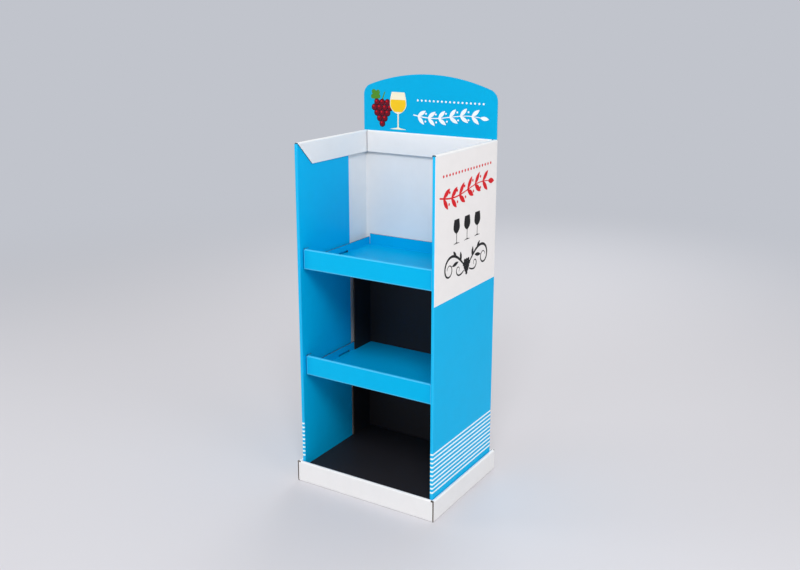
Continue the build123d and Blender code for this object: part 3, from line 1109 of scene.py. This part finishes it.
def branch(width, rise, leaf, pairs):
    """A branch along z = rise * sin(2 pi x / width), with leaves in pairs, a leaf at its
    tip, and berries between the pairs. leaf is the length of a leaf. The leaves' width,
    the berries and the stroke are shares of it."""
    x = np.linspace(-width / 2, width / 2 - 0.8 * leaf, branch_points)
    z = rise * np.sin(2 * np.pi * x / width)
    way = np.arctan2(np.gradient(z), np.gradient(x))
    slim = 0.36 * leaf
    shapes = [ribbon(x, z, leaf * (0.06 + 0.05 * np.linspace(1, 0, branch_points)))]
    at = np.linspace(first_pair, last_pair, pairs).astype(int)
    shapes += [blade(x[k], z[k], leaf, slim, way[k] + lean) for k in at for lean in (-leaf_lean, leaf_lean)]
    shapes.append(blade(x[-1], z[-1], 0.9 * leaf, slim, way[-1]))
    between = (at[:-1] + at[1:]) // 2 + 4
    shapes += [disc(x[k] + side * slim * -np.sin(way[k]), z[k] + side * slim * np.cos(way[k]), 0.09 * leaf)
               for k in between for side in (-1, 1)]
    return shapes


print("a branch with 6 pairs of leaves is", len(branch(260, 6, 30, 6)), "shapes")

# %% [markdown]
# ## Tendrils
# A tendril that is drawn by hand tightens as it goes. A circle or a plain spiral looks
# stiff beside it, so here the direction turns faster and faster, and the line is the sum
# of its small steps.

# %% Tendrils, and shapes moved or shrunk
def curl(x, z, length, heading, turn, weight, way):
    """A tendril that bends more and more: at the share u of its length its direction is
    heading + turn * u ** 2.4. way is 1 or -1 for its mirror image."""
    u = np.linspace(0, 1, 100)
    angle = heading + turn * u ** 2.4
    step = np.stack([way * np.cos(angle), np.sin(angle)], 1) * length / len(u)
    line = np.array([x, z]) + np.cumsum(step, axis=0)
    return ribbon(line[:, 0], line[:, 1], weight * (0.25 + 0.75 * np.sin(np.pi * u ** 0.6)))


def moved(shapes, x, z):
    """The shapes at another place on the panel."""
    return [shape + np.array([x, z]) for shape in shapes]


def shrunk(shapes, share, dx, dz):
    """Each shape at a share of its size about its own middle, moved a little."""
    return [(shape - shape.mean((0, 1))) * share + shape.mean((0, 1)) + (dx, dz) for shape in shapes]


tendril_end = curl(0, 0, 262, 0.72, -8.4, 8, 1)[-1, 0]
print("a tendril of 262 mm ends", np.hypot(*tendril_end).round(), "mm from its root")

# %% [markdown]
# ## Laying the motifs on the board
# A motif is drawn once in millimetres, and a panel is a place and two directions. The
# same drawing then goes on both sides of the stand. It could be mixed into the board's
# own shader, but a film of ink has a border that stays sharp from any distance. Layers
# lie a hair above each other, in the order in which the press would print them, and so
# do shapes that overlap, since two films at the same height would show as black patches.

# %% Laying motifs on a panel
def printed(name, layers, place, u_way, v_way, slot):
    """Puts ink layers on a panel: point = place + a * u_way + b * v_way + lift * out, where
    a and b are the drawing's millimetres and out stands square on the panel. The lift
    counts films: half of one, then one for each layer, and most of one more is shared out
    to the shapes of a layer."""
    u_way, v_way = np.array(u_way, float), np.array(v_way, float)
    out = np.cross(u_way, v_way)
    colours = list(dict.fromkeys(colour for colour, _ in layers))
    parts = []
    for level, (colour, shapes) in enumerate(layers):
        for number, shape in enumerate(shapes):
            lift = ink_film * (0.5 + level + 0.9 * number / len(shapes))
            # a shape drawn clockwise is turned round, so that its film faces outwards
            p, q, r = shape[:-1, 0], shape[1:, 0], shape[:-1, 1]
            area = ((q - p)[:, 0] * (r - p)[:, 1] - (q - p)[:, 1] * (r - p)[:, 0]).sum()
            grid = shape if area > 0 else shape[:, ::-1]
            mid = np.array(place, float) + grid[..., :1] * u_way + grid[..., 1:] * v_way + lift * out
            normal = np.broadcast_to(out, mid.shape)
            ink = colours.index(colour)
            parts.append(slab(mid, normal, ink_film, grid, slots=(ink, ink, ink)))
    return piece(name, parts, [inks[colour] for colour in colours], slot)


print("a layer of ink lies", ink_film, "mm above the one before")

# %% [markdown]
# ## The header's motif
# On the left of the header stand a bunch of berries with a leaf and a stem glass, and on
# the right a white branch under a row of dots. Each berry is three films: a dark rim, the
# berry and a light on it.

# %% Header motif
glass_x, glass_foot, glass_height = -110.0, 8.0, 118.0
drink_foot = glass_foot + 0.47 * glass_height
drink_top = glass_foot + 0.80 * glass_height
branch_x, branch_z, dots_z = 78.0, 58.0, 104.0
dot_places = np.linspace(-115, 115, 17)

berries = bunch(-170.0, 92.0, 11.0)
leaf = broad_leaf(-193.0, 112.0, 23.0, 2.2)
stalk = ribbon(np.linspace(-172, -160, 12), np.linspace(95, 125, 12), 4.0)
stem_glass = glass(glass_x, glass_foot, glass_height)
header_branch = branch(width=262.0, rise=7.0, leaf=34.0, pairs=6)
dots = [disc(x, 0.0, 3.2) for x in dot_places]
header_layers = [
    ("green", [leaf, stalk]),
    ("plum", berries),
    ("maroon", shrunk(berries, 0.82, -0.6, 0.8)),
    ("red", shrunk(berries, 0.26, -2.8, 3.4)),
    ("cream", [stem_glass]),
    ("gold", [slice_of(stem_glass, drink_foot, drink_top, inset=2.2)]),
    ("white", moved(header_branch, branch_x, branch_z) + moved(dots, branch_x, dots_z)),
]
card_front = (0.0, card_y - half, body_height)
printed("header_motif", header_layers, card_front, (1, 0, 0), (0, 0, 1), "header_board")

# %% [markdown]
# ## The side panels
# The white field of each side carries a red branch and dots across its upper part, and
# in black a row of three small glasses and a flourish of tendrils and leaves below them.

# %% Side panels
side_dots_z, side_branch_z, glasses_z, flourish_z = 1026.0, 968.0, 820.0, 752.0   # heights on the side

# a tendril's root, length, first direction, turn and weight, and a leaf's root, length, width and lean
tendrils = [(10, -10, 262, 0.72, -8.4, 8.0), (12, -20, 96, -0.45, 6.2, 5.0)]
leaves = [(34, 10, 30, 12, 0.15), (62, 27, 30, 11, 0.75), (50, 12, 40, 11, 1.75)]
flourish = bunch(0.0, 6.0, 6.2)
for way in (-1, 1):
    flourish += [curl(way * x, z, *form, way) for x, z, *form in tendrils]
    flourish += [blade(way * x, z, length, width, np.pi / 2 - way * lean)
                 for x, z, length, width, lean in leaves]

side_branch = branch(width=330.0, rise=10.0, leaf=46.0, pairs=6)
wide_dots = [disc(1.25 * x, 0.0, 4.2) for x in dot_places]
glasses = [glass(x, glasses_z, 72.0) for x in (-64.0, 0.0, 64.0)]
side_layers = [
    ("red", moved(side_branch, 0.0, side_branch_z) + moved(wide_dots, 0.0, side_dots_z)),
    ("black", glasses + moved(flourish, 0.0, flourish_z)),
]
wall_x = body_width / 2
printed("right_side_motif", side_layers, (wall_x, 0, 0), (0, 1, 0), (0, 0, 1), "printed_board")
printed("left_side_motif", side_layers, (-wall_x, 0, 0), (0, -1, 0), (0, 0, 1), "printed_board")

# %% [markdown]
# ## The floor
# The stand is shown on a matte pale floor. The border of a square plane would be nearer
# on some sides than on others, so the floor is a wide disc, with rings that lie closer
# together near the stand.

# %% Floor
def rings(radius, count):
    """A round floor: points at r * (cos a, sin a), with a full turn of angles per radius."""
    r = np.array(radius, float)
    a = np.linspace(0, 2 * np.pi, count, endpoint=False)
    co = np.stack([r[:, None] * np.cos(a), r[:, None] * np.sin(a), np.zeros((len(r), count))], -1)
    i, j = np.meshgrid(np.arange(len(r) - 1), np.arange(count), indexing="ij")
    k = (j + 1) % count
    quads = np.stack([i * count + j, (i + 1) * count + j, (i + 1) * count + k, i * count + k], -1)
    return co.reshape(-1, 3), quads.reshape(-1, 4)


floor_co, floor_quads = rings([0.001, 1, 3, 8, 20, 50], 64)
floor_mesh = bpy.data.meshes.new("studio_floor")
floor_mesh.from_pydata(floor_co.tolist(), [], floor_quads.tolist())
floor = bpy.data.objects.new("studio_floor", floor_mesh)
bpy.context.scene.collection.objects.link(floor)
print("floor of", len(floor_quads), "faces")

# %% [markdown]
# ## The floor's finish
# With distance the floor fades into the backdrop's colour, so no horizon shows from any
# side. The fade is for the eye only: light that falls on the stand still comes off a
# plain matte floor. Light Path tells the two apart.

# %% Matte floor that fades out
backdrop = "#C1C4CC"
fade_start, fade_end = 0.6, 5.0     # m from the stand


def seen_directly(tree):
    """1 for what the camera sees, also in a mirror or through glass, and 0 for light that
    falls on other things."""
    ray = add(tree, "LightPath").outputs
    mirror = add(tree, "Math", ray["Is Glossy Ray"], ray["Is Transmission Ray"], operation="MAXIMUM")
    return add(tree, "Math", ray["Is Camera Ray"], mirror, operation="MAXIMUM")


# matte paint, a pale cool grey with hardly any shine
floor_finish, tree = material("matte_studio_floor")
ground = add(tree, "TexCoord").outputs["Object"]
distance = add(tree, "VectorMath", ground, operation="LENGTH").outputs["Value"]
far = add(tree, "MapRange", distance, fade_start, fade_end, interpolation_type="SMOOTHERSTEP")
share = add(tree, "Math", far, seen_directly(tree), operation="MULTIPLY")
matte = add(tree, "BsdfPrincipled", Base_Color=linear("#D1D0D5"), Roughness=0.8)
glow = add(tree, "Emission", Color=linear(backdrop), Strength=1.0)
add(tree, "OutputMaterial", add(tree, "MixShader", share, matte, glow))
floor_mesh.materials.append(floor_finish)
print("the floor fades out between", fade_start, "and", fade_end, "m")

# %% [markdown]
# ## The sky
# The photograph has soft light from all round: the front and the side are about equally
# bright, and the shadow under the tray is faint. A panorama of a studio could light it
# so, but board is too dull to mirror one. So most of the light comes from an even sky.
# What the camera sees of it has the backdrop's colour.

# %% Sky
sky_strength = 0.535

world = bpy.data.worlds.new("studio")
bpy.context.scene.world = world
world.use_nodes = True
tree = world.node_tree
tree.nodes.clear()
sky = add(tree, "Background", Color=linear("#FFFFFF"), Strength=sky_strength)
wall = add(tree, "Background", Color=linear(backdrop), Strength=1.0)
add(tree, "OutputWorld", add(tree, "MixShader", seen_directly(tree), sky, wall))
print("an even sky of strength", sky_strength)

# %% [markdown]
# ## The lamps
# An even sky alone would make every side the same and the folds flat. Five softboxes
# shape them: a high one from the front right that lights the rims and lips, and weaker
# ones for the front, both sides and the back, so that no side is left dull. They are
# large, so their shadows stay soft.

# %% Softboxes
lamp_aim = Vector((0, 0, 0.6))      # m, the middle of the stand


def softbox(name, place, size, power):
    """A square area lamp that looks at the middle of the stand. Metres and watts."""
    lamp = bpy.data.lights.new(name, "AREA")
    lamp.size = size
    lamp.energy = power
    made = bpy.data.objects.new(name, lamp)
    made.location = place
    made.rotation_euler = (lamp_aim - Vector(place)).to_track_quat("-Z", "Y").to_euler()
    bpy.context.scene.collection.objects.link(made)
    return made


lamps = [softbox("front_softbox", (-0.8, -3.6, 2.0), 2.0, 16),
         softbox("right_softbox", (3.6, -0.6, 2.0), 2.4, 32),
         softbox("high_softbox", (1.8, -3.0, 3.9), 1.5, 102),
         softbox("left_softbox", (-3.4, -1.8, 1.4), 1.2, 26),
         softbox("back_softbox", (-1.0, 3.8, 2.0), 2.4, 50)]
bpy.context.scene.view_settings.view_transform = "Standard"
print(len(lamps), "softboxes of", sum(lamp.data.energy for lamp in lamps), "W in all")

# %% [markdown] ## Finishing The visual model has to stay inside the box of the CAD
# model.
